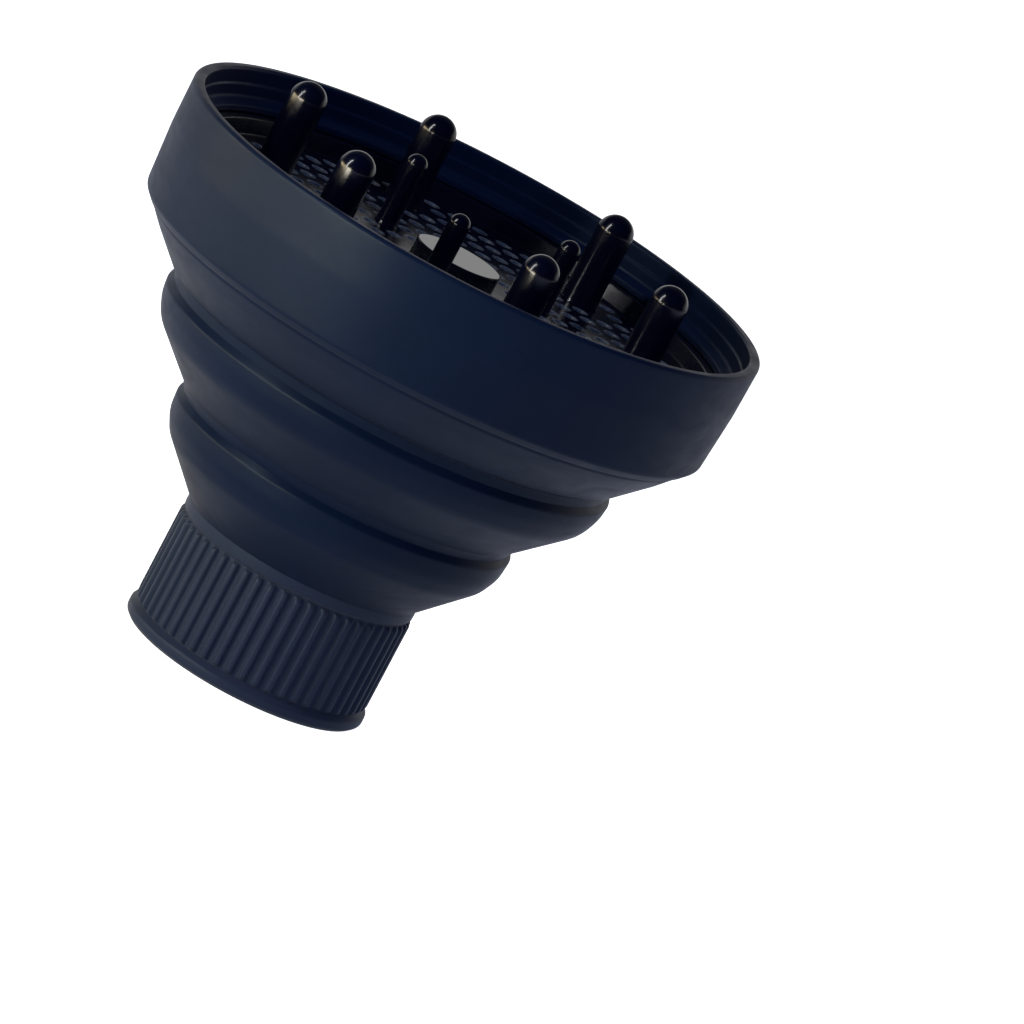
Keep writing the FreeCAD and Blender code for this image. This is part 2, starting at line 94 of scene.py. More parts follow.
def fillet(before, corner, after, radius):
    """Points of the arc that rounds one corner; the arc shrinks where its two sides are short."""
    corner = Vector(corner)
    back = Vector(before) - corner
    ahead = Vector(after) - corner
    half = back.angle(ahead) / 2
    cut = min(radius / math.tan(half), FILLET_SHARE * back.length, FILLET_SHARE * ahead.length)
    back.normalize()
    ahead.normalize()
    centre = corner + (back + ahead).normalized() * (cut / math.cos(half))
    first = corner + back * cut - centre
    last = corner + ahead * cut - centre
    sweep = first.angle_signed(last)
    by_angle = math.ceil(abs(sweep) / math.radians(FILLET_STEP_DEGREES))
    by_length = math.ceil(first.length * abs(sweep) / FILLET_STEP_MM)
    fewest, most = FILLET_STEPS
    steps = max(fewest, min(most, by_angle, by_length))
    points = []
    for i in range(steps + 1):
        angle = -sweep * i / steps
        c, s = math.cos(angle), math.sin(angle)
        points.append((centre.x + first.x * c - first.y * s, centre.y + first.x * s + first.y * c))
    return points


def outline(corners, spacing=None, closed=True):
    """Outline through (radius, height, fillet radius) corners in millimetres, as metres.

    Straight stretches longer than the spacing are divided evenly.
    """
    count = len(corners)
    points = []
    for i, (r, z, rounding) in enumerate(corners):
        inner = closed or 0 < i < count - 1
        if rounding and inner:
            before = corners[i - 1][:2]
            after = corners[(i + 1) % count][:2]
            points.extend(fillet(before, (r, z), after, rounding))
        else:
            points.append((r, z))
    if spacing:
        dense = []
        for i, point in enumerate(points):
            dense.append(point)
            if i == len(points) - 1 and not closed:
                break
            following = points[(i + 1) % len(points)]
            pieces = math.ceil(math.dist(point, following) / spacing)
            for k in range(1, pieces):
                t = k / pieces
                dense.append(tuple(a + (b - a) * t for a, b in zip(point, following)))
        points = dense
    return [(r * MM, z * MM) for r, z in points]


def even_angles(count):
    """Angles that divide a full turn evenly."""
    return [FULL_TURN * k / count for k in range(count)]


def lathe(mesh, points, angles, closed=True, shift=None, centre=(0.0, 0.0), slot=0):
    """Turns an outline inside a bmesh, about Z or about a vertical line through a centre.

    shift(angle, r, z) says how far a point moves out. The faces get a material slot.
    """
    cx, cy = centre
    rings = []
    for angle in angles:
        c, s = math.cos(angle), math.sin(angle)
        ring = []
        for r, z in points:
            reach = r + (shift(angle, r, z) if shift else 0.0)
            ring.append(mesh.verts.new((cx + reach * c, cy + reach * s, z)))
        rings.append(ring)
    last = len(points) if closed else len(points) - 1
    for k, ring in enumerate(rings):
        beside = rings[(k + 1) % len(rings)]
        for i in range(last):
            j = (i + 1) % len(points)
            face = mesh.faces.new((ring[i], beside[i], beside[j], ring[j]))
            face.material_index = slot


def finish_piece(name, mesh, sharp_degrees=35, place=(0, 0, 0)):
    """Cleans a bmesh, makes an object of it and moves its vertices to their place."""
    bmesh.ops.remove_doubles(mesh, verts=mesh.verts, dist=MERGE_DISTANCE)
    bmesh.ops.dissolve_degenerate(mesh, dist=DEGENERATE_LENGTH, edges=mesh.edges)
    bmesh.ops.recalc_face_normals(mesh, faces=mesh.faces)
    bmesh.ops.translate(mesh, verts=mesh.verts, vec=place)
    data = bpy.data.meshes.new(name)
    mesh.to_mesh(data)
    mesh.free()
    data.shade_smooth()
    data.set_sharp_from_angle(angle=math.radians(sharp_degrees))
    piece = bpy.data.objects.new(name, data)
    bpy.context.scene.collection.objects.link(piece)
    return piece


def smooth_step(value, start, end):
    """Eases from 0 at the start to 1 at the end."""
    t = min(max((value - start) / (end - start), 0.0), 1.0)
    return t * t * (3 - 2 * t)


# ---------------------------------------------------------------- materials

class Shader:
    """A node material around one Principled shader."""

    def __init__(self, name, roughness, **sockets):
        self.material = bpy.data.materials.new(name)
        self.material.use_nodes = True
        self.nodes = self.material.node_tree.nodes
        self.links = self.material.node_tree.links
        self.shader = self.nodes["Principled BSDF"]
        self.shader.inputs["Roughness"].default_value = roughness
        for socket, value in sockets.items():
            self.shader.inputs[socket.replace("_", " ")].default_value = value
        self.place = self.nodes.new("ShaderNodeTexCoord").outputs["Object"]

    def noise(self, scale, detail=3.0, distortion=0.0, stretch=None):
        """Noise in object space; the scale is in features per metre."""
        texture = self.nodes.new("ShaderNodeTexNoise")
        texture.inputs["Scale"].default_value = scale
        texture.inputs["Detail"].default_value = detail
        texture.inputs["Distortion"].default_value = distortion
        source = self.place
        if stretch:
            mapping = self.nodes.new("ShaderNodeMapping")
            mapping.inputs["Scale"].default_value = stretch
            self.links.new(source, mapping.inputs["Vector"])
            source = mapping.outputs["Vector"]
        self.links.new(source, texture.inputs["Vector"])
        return texture.outputs["Fac"]

    def spread(self, source, low, high, start=0.3, end=0.7):
        """Maps the usual range of a noise, start to end, onto a range of numbers."""
        mapped = self.nodes.new("ShaderNodeMapRange")
        mapped.inputs["From Min"].default_value = start
        mapped.inputs["From Max"].default_value = end
        mapped.inputs["To Min"].default_value = low
        mapped.inputs["To Max"].default_value = high
        self.links.new(source, mapped.inputs["Value"])
        return mapped.outputs["Result"]

    def colours(self, source, stops):
        """Colour ramp through (position, colour) stops."""
        ramp = self.nodes.new("ShaderNodeValToRGB")
        elements = ramp.color_ramp.elements
        while len(elements) < len(stops):
            elements.new(0.5)
        for element, (position, colour) in zip(elements, stops):
            element.position = position
            element.color = (*colour, 1.0)
        self.links.new(source, ramp.inputs["Fac"])
        return ramp.outputs["Color"]

    def drive(self, socket, source):
        """Links a source to one of the shader's sockets."""
        self.links.new(source, self.shader.inputs[socket])

    def bump(self, source, height, strength=1.0, below=None):
        """Bump of a height in metres, on top of an earlier bump if one is given."""
        node = self.nodes.new("ShaderNodeBump")
        node.inputs["Strength"].default_value = strength
        node.inputs["Distance"].default_value = height
        self.links.new(source, node.inputs["Height"])
        if below:
            self.links.new(below, node.inputs["Normal"])
        self.links.new(node.outputs["Normal"], self.shader.inputs["Normal"])
        return node.outputs["Normal"]


def make_silicone(name, dark, light, sheen):
    """Matte navy silicone: clouded colour, faint handling marks, moulded grain and some sheen."""
    look = Shader(
        name,
        roughness=0.5,
        Specular_IOR_Level=0.12,
        Specular_Tint=(0.8, 0.98, 1.0, 1.0),
        Sheen_Weight=sheen,
        Sheen_Roughness=0.6,
        Sheen_Tint=(0.95, 0.98, 1.0, 1.0),
    )
    cloud = look.noise(scale=38, detail=5, distortion=0.4)
    look.drive("Base Color", look.colours(cloud, [(0.32, dark), (0.7, light)]))
    wiped = look.noise(scale=70, detail=6, distortion=1.2, stretch=(1.0, 1.0, 2.5))
    look.drive("Roughness", look.spread(wiped, low=0.34, high=0.46))
    grain = look.bump(look.noise(scale=2600, detail=2), height=0.03 * MM, strength=0.5)
    look.bump(look.noise(scale=420, detail=4), height=0.04 * MM, strength=0.35, below=grain)
    return look.material


def make_gloss(name, dark, light, smoothest, dullest):
    """Injection moulded plastic: flow marks in its colour, dulled patches and slight waviness."""
    look = Shader(name, roughness=smoothest, Specular_IOR_Level=0.5, IOR=1.5)
    flow = look.noise(scale=55, detail=3)
    look.drive("Base Color", look.colours(flow, [(0.3, dark), (0.72, light)]))
    dulled = look.noise(scale=130, detail=6, distortion=0.8)
    look.drive("Roughness", look.spread(dulled, low=smoothest, high=dullest))
    look.bump(look.noise(scale=210, detail=2), height=0.02 * MM, strength=0.3)
    return look.material


SILICONE = make_silicone(
    "navy_silicone",
    dark=(0.0009, 0.0050, 0.0200),
    light=(0.0013, 0.0064, 0.0245),
    sheen=0.017,
)
# The neck is the same navy silicone as the body; its lighter base colour here is painted light.
NECK_PAINTED_LIGHT_SILICONE = make_silicone(
    "navy_silicone_neck_painted_light",
    dark=(0.0095, 0.0160, 0.0370),
    light=(0.0135, 0.0200, 0.0435),
    sheen=0.06,
)
PLATE_GLOSS = make_gloss(
    "gloss_black",
    dark=(0.0008, 0.0014, 0.0060),
    light=(0.0014, 0.0022, 0.0085),
    smoothest=0.2,
    dullest=0.30,
)
# The air holes' walls and mouths are the same black plastic; this light grey is a painted glint on
# them.
MOUTH_PAINTED_GLINT = make_gloss(
    "hole_mouth_painted_glint",
    dark=(0.055, 0.064, 0.080),
    light=(0.085, 0.098, 0.115),
    smoothest=0.22,
    dullest=0.36,
)
FINGER_GLOSS = make_gloss(
    "finger_gloss",
    dark=(0.0008, 0.0016, 0.0075),
    light=(0.0013, 0.0024, 0.0100),
    smoothest=0.14,
    dullest=0.20,
)
CAP_POLISH = make_gloss(
    "cap_polish",
    dark=(0.003, 0.004, 0.007),
    light=(0.005, 0.006, 0.010),
    smoothest=0.02,
    dullest=0.045,
)
GRILLE_PLASTIC = make_gloss(
    "grille_grey",
    dark=(0.085, 0.095, 0.11),
    light=(0.11, 0.12, 0.135),
    smoothest=0.32,
    dullest=0.45,
)


# ---------------------------------------------------------------- silicone body

# Segments round each skin, and the longest straight stretch of its outline in millimetres.
SKIN_SEGMENTS = 256
SKIN_SPACING = 0.6

# outer radii of the seams between the skins, which lie in the grooves and on the neck's collar
UPPER_SEAM_R = 53.9
LOWER_SEAM_R = 40.6
NECK_SEAM_R = 28.4
# inner radius of the seam between the lower fold and the neck, and wall thickness of the webs
NECK_MOUTH_R = 26.2
WEB_WALL = 1.1

# inside of the bowl, from the shoulder up: wall, ledge, seat of the plate, lip and throat
BOWL_WALL_R = 66.2
LEDGE_R = 63.4
LEDGE_FACE = 101.0
SEAT_R = 66.1
LIP_R = 64.4
LIP_FOOT = 105.4
THROAT_R = 67.3


def bowl_corners():
    """Rim, drum, corner bead, shoulder and web outside; web, wall, ledge, lip and throat inside."""
    outside = [
        (RIM_R, RIM_TOP, 0.9),
        (RIM_R - 0.25, RIM_TOP - 12.0, 30.0),
        (DRUM_FOOT_R + 0.05, DRUM_FOOT + 0.2, 1.3),
        (67.15, 87.5, 0.3),
        (66.45, 87.5, 0.3),
        (66.1, 86.6, 0.3),
        (63.1, 83.2, 30.0),
        (56.2, 76.3, 0.45),
        (54.2, 75.2, 0.5),
        (UPPER_SEAM_R, UPPER_TOP, 0.0),
    ]
    inside = [
        (UPPER_SEAM_R - WEB_WALL, UPPER_TOP, 0.0),
        (53.1, 75.4, 0.5),
        (55.2, 76.6, 0.8),
        (56.9, SHOULDER_FOOT, 1.0),
        (BOWL_WALL_R, 88.3, 1.5),
        (BOWL_WALL_R, 97.0, 1.5),
        (LEDGE_R, 99.6, 0.5),
        (LEDGE_R, LEDGE_FACE, 0.3),
        (SEAT_R, LEDGE_FACE, 0.1),
        (SEAT_R, LIP_FOOT, 0.1),
        (LIP_R, LIP_FOOT, 0.3),
        (LIP_R, 106.9, 0.5),
        (66.9, 108.0, 1.2),
        (66.95, 110.9, 0.25),
        (THROAT_R, 111.3, 0.25),
        (THROAT_R, RIM_TOP, 0.7),
    ]
    return outside + inside


def upper_fold_corners():
    """Crest of the upper fold and the web under it, outside and then inside."""
    outside = [
        (UPPER_SEAM_R, UPPER_TOP, 0.0),
        (UPPER_CREST_R + 0.05, UPPER_TOP - 1.6, 1.2),
        (UPPER_CREST_R - 0.3, 68.3, 8.0),
        (53.0, 64.2, 8.0),
        (41.75, 53.4, 1.2),
        (LOWER_SEAM_R, LOWER_TOP, 0.0),
    ]
    inside = [
        (LOWER_SEAM_R - WEB_WALL, LOWER_TOP, 0.0),
        (40.9, 54.3, 1.2),
        (49.4, 62.5, 4.0),
        (52.5, 67.6, 6.0),
        (UPPER_SEAM_R - WEB_WALL, UPPER_TOP, 0.0),
    ]
    return outside + inside


def lower_fold_corners():
    """Crest of the lower fold and the web under it, outside and then inside."""
    outside = [
        (LOWER_SEAM_R, LOWER_TOP, 0.0),
        (LOWER_CREST_R + 0.1, LOWER_TOP - 1.5, 1.2),
        (LOWER_CREST_R - 0.25, 45.4, 8.0),
        (39.3, 41.5, 6.0),
        (29.0, 30.7, 0.6),
        (NECK_SEAM_R, NECK_TOP, 0.0),
    ]
    inside = [
        (NECK_MOUTH_R, NECK_TOP, 0.0),
        (28.2, 32.0, 2.0),
        (36.4, 40.9, 4.0),
        (39.6, 45.0, 5.0),
        (LOWER_SEAM_R - WEB_WALL, LOWER_TOP, 0.0),
    ]
    return outside + inside


def make_skin(name, corners):
    """Closed ring of silicone turned from an outline."""
    mesh = bmesh.new()
    lathe(mesh, outline(corners, SKIN_SPACING), even_angles(SKIN_SEGMENTS))
    skin = finish_piece(name, mesh)
    skin.data.materials.append(SILICONE)
    return skin


def blend_skin(skin):
    """Bakes a skin's placement into its vertices."""
    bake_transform(skin)


bowl_skin = make_skin("bowl_skin", bowl_corners())
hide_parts("rim_drum", "bowl_shoulder", "upper_web")
blend_skin(bowl_skin)

upper_fold_skin = make_skin("upper_fold_skin", upper_fold_corners())
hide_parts("upper_fold_ring", "middle_web")
blend_skin(upper_fold_skin)

lower_fold_skin = make_skin("lower_fold_skin", lower_fold_corners())
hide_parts("lower_fold_ring", "lower_web")
blend_skin(lower_fold_skin)


# ---------------------------------------------------------------- neck sleeve

RIB_COUNT = 54
RIB_LOW, RIB_HIGH = 4.15, 26.7
RIB_HEIGHT = 0.95
RIB_END = 1.1
# distance from a rib's middle, and the rib's height there as a share of the whole
RIB_SECTION = [(0.0, 1.0), (0.42, 0.96), (0.66, 0.78), (0.82, 0.45), (0.98, 0.14), (1.22, 0.0)]
SLEEVE_R = 27.7
BORE_R = 25.0
GRIP_GROUPS = 6
GRIP_OFFSETS = (-2.2, 0.0, 2.2)
GRIP_HALF_WIDTH = 0.55
GRIP_DEPTH = 0.6
GRIP_EDGE = 0.25
GRIP_LOW = 1.6
GRIP_RUN_IN = 0.4
# how far along a rounded rib end, and along the straight part of a rib, its rings of points lie
RIB_END_SHARES = (0.0, 0.06, 0.18, 0.4, 0.7, 1.0)
RIB_MIDDLE_SHARES = (0.2, 0.4, 0.6, 0.8)
# heights of the bore's rings of points, closer where the grip grooves run out
BORE_STATIONS = (20.0, 10.0, 2.4, 2.0, 1.6, 1.2)
# angles that agree to this many decimals count as one
ANGLE_DECIMALS = 6
# tolerance in millimetres for a point on the border between two parts of a rib's section
BORDER_TOLERANCE = 1e-6
NECK_SHARP_DEGREES = 50


def rib_height(angle, z):
    """Height of the outer ribs in metres."""
    pitch = FULL_TURN / RIB_COUNT
    distance = abs((angle + pitch / 2) % pitch - pitch / 2) * SLEEVE_R
    share = 0.0
    for (near, high), (far, low) in zip(RIB_SECTION, RIB_SECTION[1:]):
        if near <= distance + BORDER_TOLERANCE and distance <= far + BORDER_TOLERANCE:
            share = high + (low - high) * (distance - near) / (far - near)
    into_end = min(z / MM - RIB_LOW, RIB_HIGH - z / MM) / RIB_END
    if into_end <= 0:
        return 0.0
    end = math.sqrt(1 - (1 - min(into_end, 1.0)) ** 2)
    return RIB_HEIGHT * share * end * MM


def grip_depth(angle, z):
    """Depth of the inner grip grooves in metres."""
    sector = FULL_TURN / GRIP_GROUPS
    across = ((angle + sector / 2) % sector - sector / 2) * BORE_R
    depth = 0.0
    for offset in GRIP_OFFSETS:
        inside = GRIP_HALF_WIDTH + GRIP_EDGE / 2 - abs(across - offset)
        depth = max(depth, smooth_step(inside, 0.0, GRIP_EDGE))
    run_in = smooth_step(z / MM, GRIP_LOW - GRIP_RUN_IN, GRIP_LOW + GRIP_RUN_IN)
    return GRIP_DEPTH * depth * run_in * MM


def neck_angles():
    """Angles that follow every rib's section and every grip groove's edges."""
    angles = set()
    rib_pitch = FULL_TURN / RIB_COUNT
    for rib in range(RIB_COUNT):
        crest = rib_pitch * rib
        for distance, _ in RIB_SECTION:
            for side in (-1, 1):
                angle = crest + side * distance / SLEEVE_R
                angles.add(round(angle % FULL_TURN, ANGLE_DECIMALS))
        angles.add(round((crest + rib_pitch / 2) % FULL_TURN, ANGLE_DECIMALS))
    groove_edges = (GRIP_HALF_WIDTH - GRIP_EDGE / 2, GRIP_HALF_WIDTH + GRIP_EDGE / 2)
    for group in range(GRIP_GROUPS):
        middle = FULL_TURN * group / GRIP_GROUPS
        for offset in GRIP_OFFSETS:
            for side in (-1, 1):
                for edge in groove_edges:
                    angle = middle + (offset + side * edge) / BORE_R
                    angles.add(round(angle % FULL_TURN, ANGLE_DECIMALS))
    return sorted(angles)


def make_neck_skin():
    """Ribbed socket with its end bead and collar; the inside has six groups of grip grooves."""
    outside = [
        (28.3, 0.0, 0.5),
        (BEAD_R, 0.9, 0.9),
        (BEAD_R, 2.9, 0.9),
        (SLEEVE_R, 4.0, 0.6),
    ]
    rib_stations = [RIB_LOW + share * RIB_END for share in RIB_END_SHARES]
    straight = RIB_HIGH - RIB_LOW - 2 * RIB_END
    rib_stations += [RIB_LOW + RIB_END + share * straight for share in RIB_MIDDLE_SHARES]
    rib_stations += [RIB_HIGH - share * RIB_END for share in reversed(RIB_END_SHARES)]
    sleeve = [(SLEEVE_R, z, 0.0) for z in rib_stations]
    collar = [
        (SLEEVE_R, 27.1, 0.3),
        (NECK_SEAM_R, 27.6, 0.4),
        (NECK_SEAM_R, NECK_TOP, 0.0),
    ]
    mouth = [
        (NECK_MOUTH_R, NECK_TOP, 0.0),
        (BORE_R, 28.8, 0.8),
    ]
    bore = [(BORE_R, z, 0.0) for z in BORE_STATIONS]
    entry = [
        (BORE_R, 0.6, 0.3),
        (BORE_R + 0.6, 0.0, 0.3),
    ]
    inside = mouth + bore + entry
    mesh = bmesh.new()
    between = (SLEEVE_R + BORE_R) / 2 * MM

    def shift(angle, r, z):
        if r > between:
            return rib_height(angle, z)
        return grip_depth(angle, z)

    lathe(mesh, outline(outside + sleeve + collar + inside), neck_angles(), shift=shift)
    skin = finish_piece("neck_skin", mesh, NECK_SHARP_DEGREES)
    skin.data.materials.append(NECK_PAINTED_LIGHT_SILICONE)
    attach(skin, "neck")
    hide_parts("neck_sleeve")


make_neck_skin()


# ---------------------------------------------------------------- plate with its air holes

HOLE_R = 1.35
HOLE_MOUTH = 0.6
HOLE_PITCH = 6.3
HOLE_MARGIN = 1.0
# the holes may come this much nearer to a finger's foot, which is wider than its shaft
FOOT_FLARE = 0.4
HOLE_SECTORS = 6
HOLE_SEGMENTS = 20
# width of the flat ring round each hole's mouth, where the face between the holes begins
MOUTH_BORDER = 0.12
# radius where the plate's floor turns up, and how far inside it the ring of the edge begins
FLOOR_EDGE_R = 61.2
EDGE_FLAT = 1.2
EDGE_TOP_R = 62.0
EDGE_SEGMENTS = 192
# radius of the plate's base, and height of the step from it out to the plate's full radius
BASE_R = 62.9
BASE_STEP = 101.1
SOCKET_PLAY = 0.05
HUB_HOLE_R = 8.0
HUB_HOLE_SEGMENTS = 48
# material slot of the air holes' walls and mouths, whose light grey is a painted glint
PAINTED_GLINT_SLOT = 1
# for delaunay_2d_cdt: it returns triangles over the whole hull, and its tolerance
HULL_TRIANGLES = 0
CDT_TOLERANCE = 1e-6
# share of a hole's radius inside which a triangle's middle counts as within the hole
INSIDE_SHARE = 0.999

# Fingers with a foot wider than this are tall ones. Spigot and bore radii are (tall, slim).
TALL_FOOT_R = 4.0
SPIGOT_RADII = (3.0, 1.6)
BORE_RADII = (1.9, 0.8)


def finger_places():
    """Centre, radius and tip height of every finger, from the frame, in millimetres."""
    places = {}
    for name in FINGER_NODES:
        low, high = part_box(name)
        centre = (low + high) / 2
        places[name] = (centre.x / MM, centre.y / MM, (high.x - low.x) / 2 / MM, high.z / MM)
    return places


FINGERS = finger_places()


def hole_places():
    """Hexagonal lattice of holes in one sector, clear of hub, fingers and rim, turned six times."""
    margin = HOLE_R + HOLE_MARGIN
    row_pitch = math.sqrt(0.75) * HOLE_PITCH
    steps = int(FLOOR_EDGE_R / HOLE_PITCH) + 2
    places = []
    for i in range(1, steps):
        for j in range(steps):
            x = (i + j / 2) * HOLE_PITCH
            y = j * row_pitch
            reach = math.hypot(x, y)
            if reach < HUB_R + margin or reach > FLOOR_EDGE_R - margin:
                continue
            gaps = [math.hypot(x - fx, y - fy) - radius for fx, fy, radius, _ in FINGERS.values()]
            if min(gaps) < margin - FOOT_FLARE:
                continue
            for turn in even_angles(HOLE_SECTORS):
                px = x * math.cos(turn) - y * math.sin(turn)
                py = x * math.sin(turn) + y * math.cos(turn)
                places.append((px, py))
    return places


def for_finger(radii, foot_radius):
    """Picks the tall or the slim finger's value."""
    tall, slim = radii
    return tall if foot_radius > TALL_FOOT_R else slim


def circle_points(cx, cy, radius, count):
    """Evenly spaced points on a circle."""
    return [(cx + radius * math.cos(a), cy + radius * math.sin(a)) for a in even_angles(count)]


def fill_between(mesh, height, outer, holes):
    """Flat face inside the outer circle and outside the holes, each (x, y, radius, points)."""
    points = []
    edges = []
    for cx, cy, radius, count in [outer] + holes:
        first = len(points)
        points.extend(Vector(p) for p in circle_points(cx, cy, radius, count))
        edges.extend((first + k, first + (k + 1) % count) for k in range(count))
    corners, _, faces, *_ = delaunay_2d_cdt(points, edges, [], HULL_TRIANGLES, CDT_TOLERANCE)
    verts = [mesh.verts.new((p.x * MM, p.y * MM, height * MM)) for p in corners]
    centres = [(Vector((cx, cy)), radius) for cx, cy, radius, _ in holes]
    for face in faces:
        middle = sum((corners[i] for i in face), Vector((0, 0))) / len(face)
        if any((middle - centre).length < radius * INSIDE_SHARE for centre, radius in centres):
            continue
        mesh.faces.new([verts[i] for i in face])


def make_plate():
    """Tray with a turned-up edge. Every air hole has a rounded mouth; its walls and mouth are
    painted light grey, a painted glint.
    """
    mesh = bmesh.new()
    flat_r = FLOOR_EDGE_R - EDGE_FLAT
    tray = outline([
        (flat_r, PLATE_FLOOR, 0.0),
        (FLOOR_EDGE_R, PLATE_FLOOR, 0.7),
        (EDGE_TOP_R, PLATE_TOP, 0.45),
        (PLATE_R, PLATE_TOP, 0.3),
        (PLATE_R, BASE_STEP, 0.25),
        (BASE_R, BASE_STEP, 0.2),
        (BASE_R, PLATE_BOTTOM, 0.4),
        (flat_r, PLATE_BOTTOM, 0.0),
    ], closed=False)
    lathe(mesh, tray, even_angles(EDGE_SEGMENTS), closed=False)

    mouth_r = HOLE_R + HOLE_MOUTH
    ring_r = mouth_r + MOUTH_BORDER
    hole = outline([
        (ring_r, PLATE_FLOOR, 0.0),
        (mouth_r, PLATE_FLOOR, 0.0),
        (HOLE_R, PLATE_FLOOR, HOLE_MOUTH),
        (HOLE_R, PLATE_BOTTOM, 0.2),
        (ring_r, PLATE_BOTTOM, 0.0),
    ], closed=False)
    around = even_angles(HOLE_SEGMENTS)
    holes = []
    for cx, cy in hole_places():
        lathe(mesh, hole, around, closed=False, centre=(cx * MM, cy * MM), slot=PAINTED_GLINT_SLOT)
        holes.append((cx, cy, ring_r, HOLE_SEGMENTS))
    plain_holes = []
    for cx, cy, radius, _ in FINGERS.values():
        socket_r = for_finger(SPIGOT_RADII, radius) + SOCKET_PLAY
        plain_holes.append((cx, cy, socket_r, HOLE_SEGMENTS))
    plain_holes.append((0, 0, HUB_HOLE_R, HUB_HOLE_SEGMENTS))
    for cx, cy, radius, count in plain_holes:
        wall = outline([(radius, PLATE_FLOOR, 0.0), (radius, PLATE_BOTTOM, 0.0)], closed=False)
        lathe(mesh, wall, even_angles(count), closed=False, centre=(cx * MM, cy * MM))
    holes += plain_holes
    for height in (PLATE_FLOOR, PLATE_BOTTOM):
        fill_between(mesh, height, (0, 0, flat_r, EDGE_SEGMENTS), holes)

    plate = finish_piece("plate_with_holes", mesh)
    plate.data.materials.append(PLATE_GLOSS)
    plate.data.materials.append(MOUTH_PAINTED_GLINT)
    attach(plate, "bowl")
    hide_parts("diffuser_plate")


make_plate()


# ---------------------------------------------------------------- fingers

# how much narrower the shaft is than the foot, and the wall between the bore's end and the tip
FINGER_TAPER = 0.4
TIP_WALL = 1.5
SPIGOT_LENGTH = 1.9
FOOT_HEIGHT = 0.55
DOME_STEPS = 18
BORE_END_STEPS = 8
FINGER_SEGMENTS = 48


def quarter_dome(radius, centre, steps):
    """Points of a dome's outline, from its widest circle up to its top."""
    points = []
    for i in range(steps + 1):
        angle = math.pi / 2 * i / steps
        points.append((radius * math.cos(angle) * MM, (centre + radius * math.sin(angle)) * MM))
    return points


def make_finger(node, radius, tip):
    """Hollow round-tipped finger with a filleted foot and a spigot in the plate."""
    shaft = radius - FINGER_TAPER
    spigot = for_finger(SPIGOT_RADII, radius)
    bore = for_finger(BORE_RADII, radius)
    length = tip - PLATE_FLOOR
    dome = length - shaft
    corners = [
        (bore, -SPIGOT_LENGTH, 0.15),
        (spigot, -SPIGOT_LENGTH, 0.2),
        (spigot, 0.0, 0.0),
        (radius, 0.0, 0.1),
        (shaft, FOOT_HEIGHT, 0.9),
        (shaft, dome * 0.5, 0.0),
    ]
    points = outline(corners, closed=False)
    points += quarter_dome(shaft, dome, DOME_STEPS)
    points += reversed(quarter_dome(bore, length - TIP_WALL - bore, BORE_END_STEPS))
    mesh = bmesh.new()
    lathe(mesh, points, even_angles(FINGER_SEGMENTS))
    x, y, _, _ = FINGERS[node]
    finger = finish_piece(node + "_moulded", mesh, place=(x * MM, y * MM, PLATE_FLOOR * MM))
    finger.data.materials.append(FINGER_GLOSS)
    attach(finger, "bowl")
    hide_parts(node)


for node, (_, _, foot_radius, tip_height) in FINGERS.items():
    make_finger(node, foot_radius, tip_height)


# ---------------------------------------------------------------- hub

CAP_SPIGOT_R = 7.9
CAP_EDGE_ROUNDING = 0.5
# rings of points on the cap's flat top, which keep its shading even up to the rounded edge
CAP_TOP_RINGS = (6.0, CAP_R - 0.6)
CAP_SEGMENTS = 96


def dress(node, material):
    """Gives a carried-over node a better material."""
    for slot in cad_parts[node].material_slots:
        slot.material = material


def make_cap():
    """Flat disc with a rounded edge on a spigot."""
    mesh = bmesh.new()
    top = [(r, CAP_TOP, 0.0) for r in (0.0, *CAP_TOP_RINGS)]
    below = [
        (CAP_R, CAP_TOP, CAP_EDGE_ROUNDING),
        (CAP_R, PLATE_FLOOR, 0.0),
        (CAP_SPIGOT_R, PLATE_FLOOR, 0.0),
        (CAP_SPIGOT_R, CAP_SPIGOT_END, 0.3),
        (0.0, CAP_SPIGOT_END, 0.0),
    ]
    lathe(mesh, outline(top + below, closed=False), even_angles(CAP_SEGMENTS), closed=False)
    cap = finish_piece("polished_hub_cap", mesh)
    cap.data.materials.append(CAP_POLISH)
    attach(cap, "bowl")
    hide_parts("hub_cap")


make_cap()
dress("hub_tube", PLATE_GLOSS)
dress("hub_grille", GRILLE_PLASTIC)


# ---------------------------------------------------------------- floor, light and camera

# Strengths of the floor's glow and of the background. The camera sees white all round, and the
# object gets less: a weak glow from the floor and a backdrop on its far side only.
FLOOR_SEEN = 1.1
FLOOR_ON_OBJECT = 0.2
BACKDROP_SEEN = 1.0
BACKDROP_ON_OBJECT = 0.65
# The backdrop fades in with a direction's Y and out with its Z, down to a share of its strength.
BACKDROP_FADE_IN = (0.1, 0.8)
BACKDROP_FADE_OUT = (0.26, 0.42)
BACKDROP_ABOVE = 0.08
FLOOR_HALF_SIZE = 20.0
FLOOR_GREYS = (0.86, 0.88)


def camera_or_object(nodes, links, for_camera):
    """Mix node that gives the camera one value; its input A is what everything else gets."""
    mix = nodes.new("ShaderNodeMix")
    mix.inputs["B"].default_value = for_camera
    links.new(nodes.new("ShaderNodeLightPath").outputs["Is Camera Ray"], mix.inputs["Factor"])
    return mix


